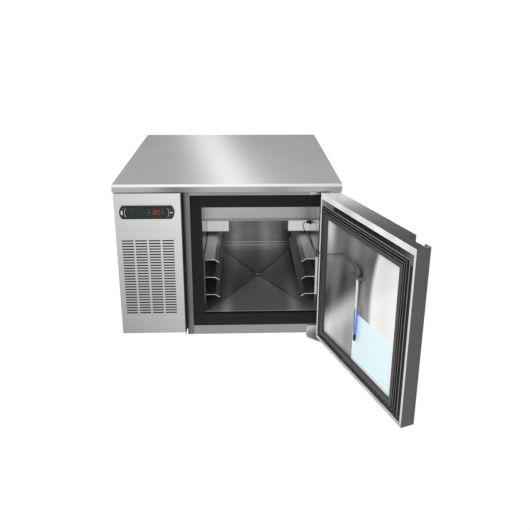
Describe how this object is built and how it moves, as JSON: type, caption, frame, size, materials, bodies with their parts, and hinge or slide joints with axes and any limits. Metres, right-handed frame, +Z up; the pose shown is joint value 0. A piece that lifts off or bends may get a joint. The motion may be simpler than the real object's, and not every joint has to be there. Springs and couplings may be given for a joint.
{
  "type": "blast chiller",
  "caption": "Countertop blast chiller: worktop cabinet with slotted machine compartment, tray-rack chamber, hinged gasketed door standing open, and a corded core probe on the door.",
  "frame": {"origin": "on the floor, under the centre of the worktop", "axes": "+X to the user's right, +Y away from the user, +Z up"},
  "size_m": [0.8194, 1.1664, 0.576],
  "materials": {
    "brushed_stainless": "brushed",
    "bright_stainless": "bright, lightly brushed",
    "runner_steel": "pressed, satin",
    "galvanised_sheet": "dull",
    "particle_board": "raw",
    "insulation_foam": "rigid foam",
    "black_plastic": "matt",
    "controller_black": "satin",
    "display_black": "glossy",
    "key_black": "satin",
    "dark_rubber": "matt",
    "zinc_steel": "satin zinc",
    "nylon_white": "matt",
    "nylon_black": "matt",
    "grip_aluminium": "satin anodised",
    "probe_steel": "polished",
    "probe_grey": "matt",
    "cable_grey": "satin",
    "sheet_blue": "satin",
    "compressor_black": "semi-gloss paint",
    "coil_aluminium": "finned",
    "motor_grey": "cast",
    "copper_line": "bare",
    "box_grey": "matt"
  },
  "bodies": {
    "cabinet": {"air_baffles": "bright_stainless", "base_pan": "galvanised_sheet", "bottom_panel": "galvanised_sheet", "breaker_frame": "black_plastic", "cable_gland": "black_plastic", "chamber_floor": "bright_stainless", "chamber_liner": "bright_stainless", "compressor": "compressor_black", "compressor_mounts": "dark_rubber", "condenser_coil": "coil_aluminium", "condenser_fan_motor": "motor_grey", "controller_bezel": "controller_black", "display_window": "display_black", "divider_panel": "galvanised_sheet", "drain_pipe": "black_plastic", "drain_strainer": "bright_stainless", "electrical_box": "box_grey", "evaporator_coil": "coil_aluminium", "evaporator_cover": "brushed_stainless", "evaporator_fan_motor": "motor_grey", "fan_guard": "black_plastic", "fan_shroud": "galvanised_sheet", "filter_drier": "copper_line", "foot_pads": "dark_rubber", "foot_stems": "zinc_steel", "front_frame": "brushed_stainless", "hinge_bracket_bottom": "zinc_steel", "hinge_bracket_top": "zinc_steel", "hinge_collar": "nylon_black", "hinge_pins": "zinc_steel", "hinge_screws": "zinc_steel", "insulation_foam": "insulation_foam", "left_side_panel": "brushed_stainless", "probe_cable": "cable_grey", "rack_uprights": "bright_stainless", "rear_panel": "galvanised_sheet", "refrigerant_lines": "copper_line", "right_side_panel": "brushed_stainless", "service_panel": "brushed_stainless", "tray_runners_left": "runner_steel", "tray_runners_right": "runner_steel", "worktop_board": "particle_board", "worktop_skin": "brushed_stainless"},
    "door": {"door_outer_skin": "brushed_stainless", "door_foam_core": "insulation_foam", "door_liner": "bright_stainless", "door_gasket": "dark_rubber", "grip_profile": "grip_aluminium", "door_screws": "zinc_steel", "hinge_bushes": "nylon_white", "instruction_sheet": "sheet_blue", "probe_holder": "bright_stainless", "probe_needle": "probe_steel", "probe_handle": "probe_grey"},
    "condenser_fan": {"condenser_fan": "black_plastic"},
    "evaporator_fan": {"evaporator_fan": "black_plastic"},
    "key_off": {"key_off": "key_black"},
    "key_on": {"key_on": "key_black"},
    "key_down": {"key_down": "key_black"},
    "key_up": {"key_up": "key_black"}
  },
  "joints": [
    {"name": "door_hinge", "type": "hinge", "parent": "cabinet", "child": "door", "pos_m": [0.3265, -0.3505, 0.3], "axis": [0, 0, 1], "range_deg": [-110, 15], "deforming": ["probe_cable"]},
    {"name": "condenser_fan_spin", "type": "hinge", "parent": "cabinet", "child": "condenser_fan", "pos_m": [-0.23825, -0.184, 0.19], "axis": [0, 1, 0], "continuous": true},
    {"name": "evaporator_fan_spin", "type": "hinge", "parent": "cabinet", "child": "evaporator_fan", "pos_m": [0.101, 0.216, 0.41], "axis": [0, 0, 1], "continuous": true},
    {"name": "key_off_press", "type": "slide", "parent": "cabinet", "child": "key_off", "axis": [0, 1, 0], "range_m": [0, 0.0006], "stiffness_N_per_m": 400, "springref_m": -0.0005},
    {"name": "key_down_press", "type": "slide", "parent": "cabinet", "child": "key_down", "axis": [0, 1, 0], "range_m": [0, 0.0006], "stiffness_N_per_m": 400, "springref_m": -0.0005},
    {"name": "key_up_press", "type": "slide", "parent": "cabinet", "child": "key_up", "axis": [0, 1, 0], "range_m": [0, 0.0006], "stiffness_N_per_m": 400, "springref_m": -0.0005},
    {"name": "key_on_press", "type": "slide", "parent": "cabinet", "child": "key_on", "axis": [0, 1, 0], "range_m": [0, 0.0006], "stiffness_N_per_m": 400, "springref_m": -0.0005}
  ]
}
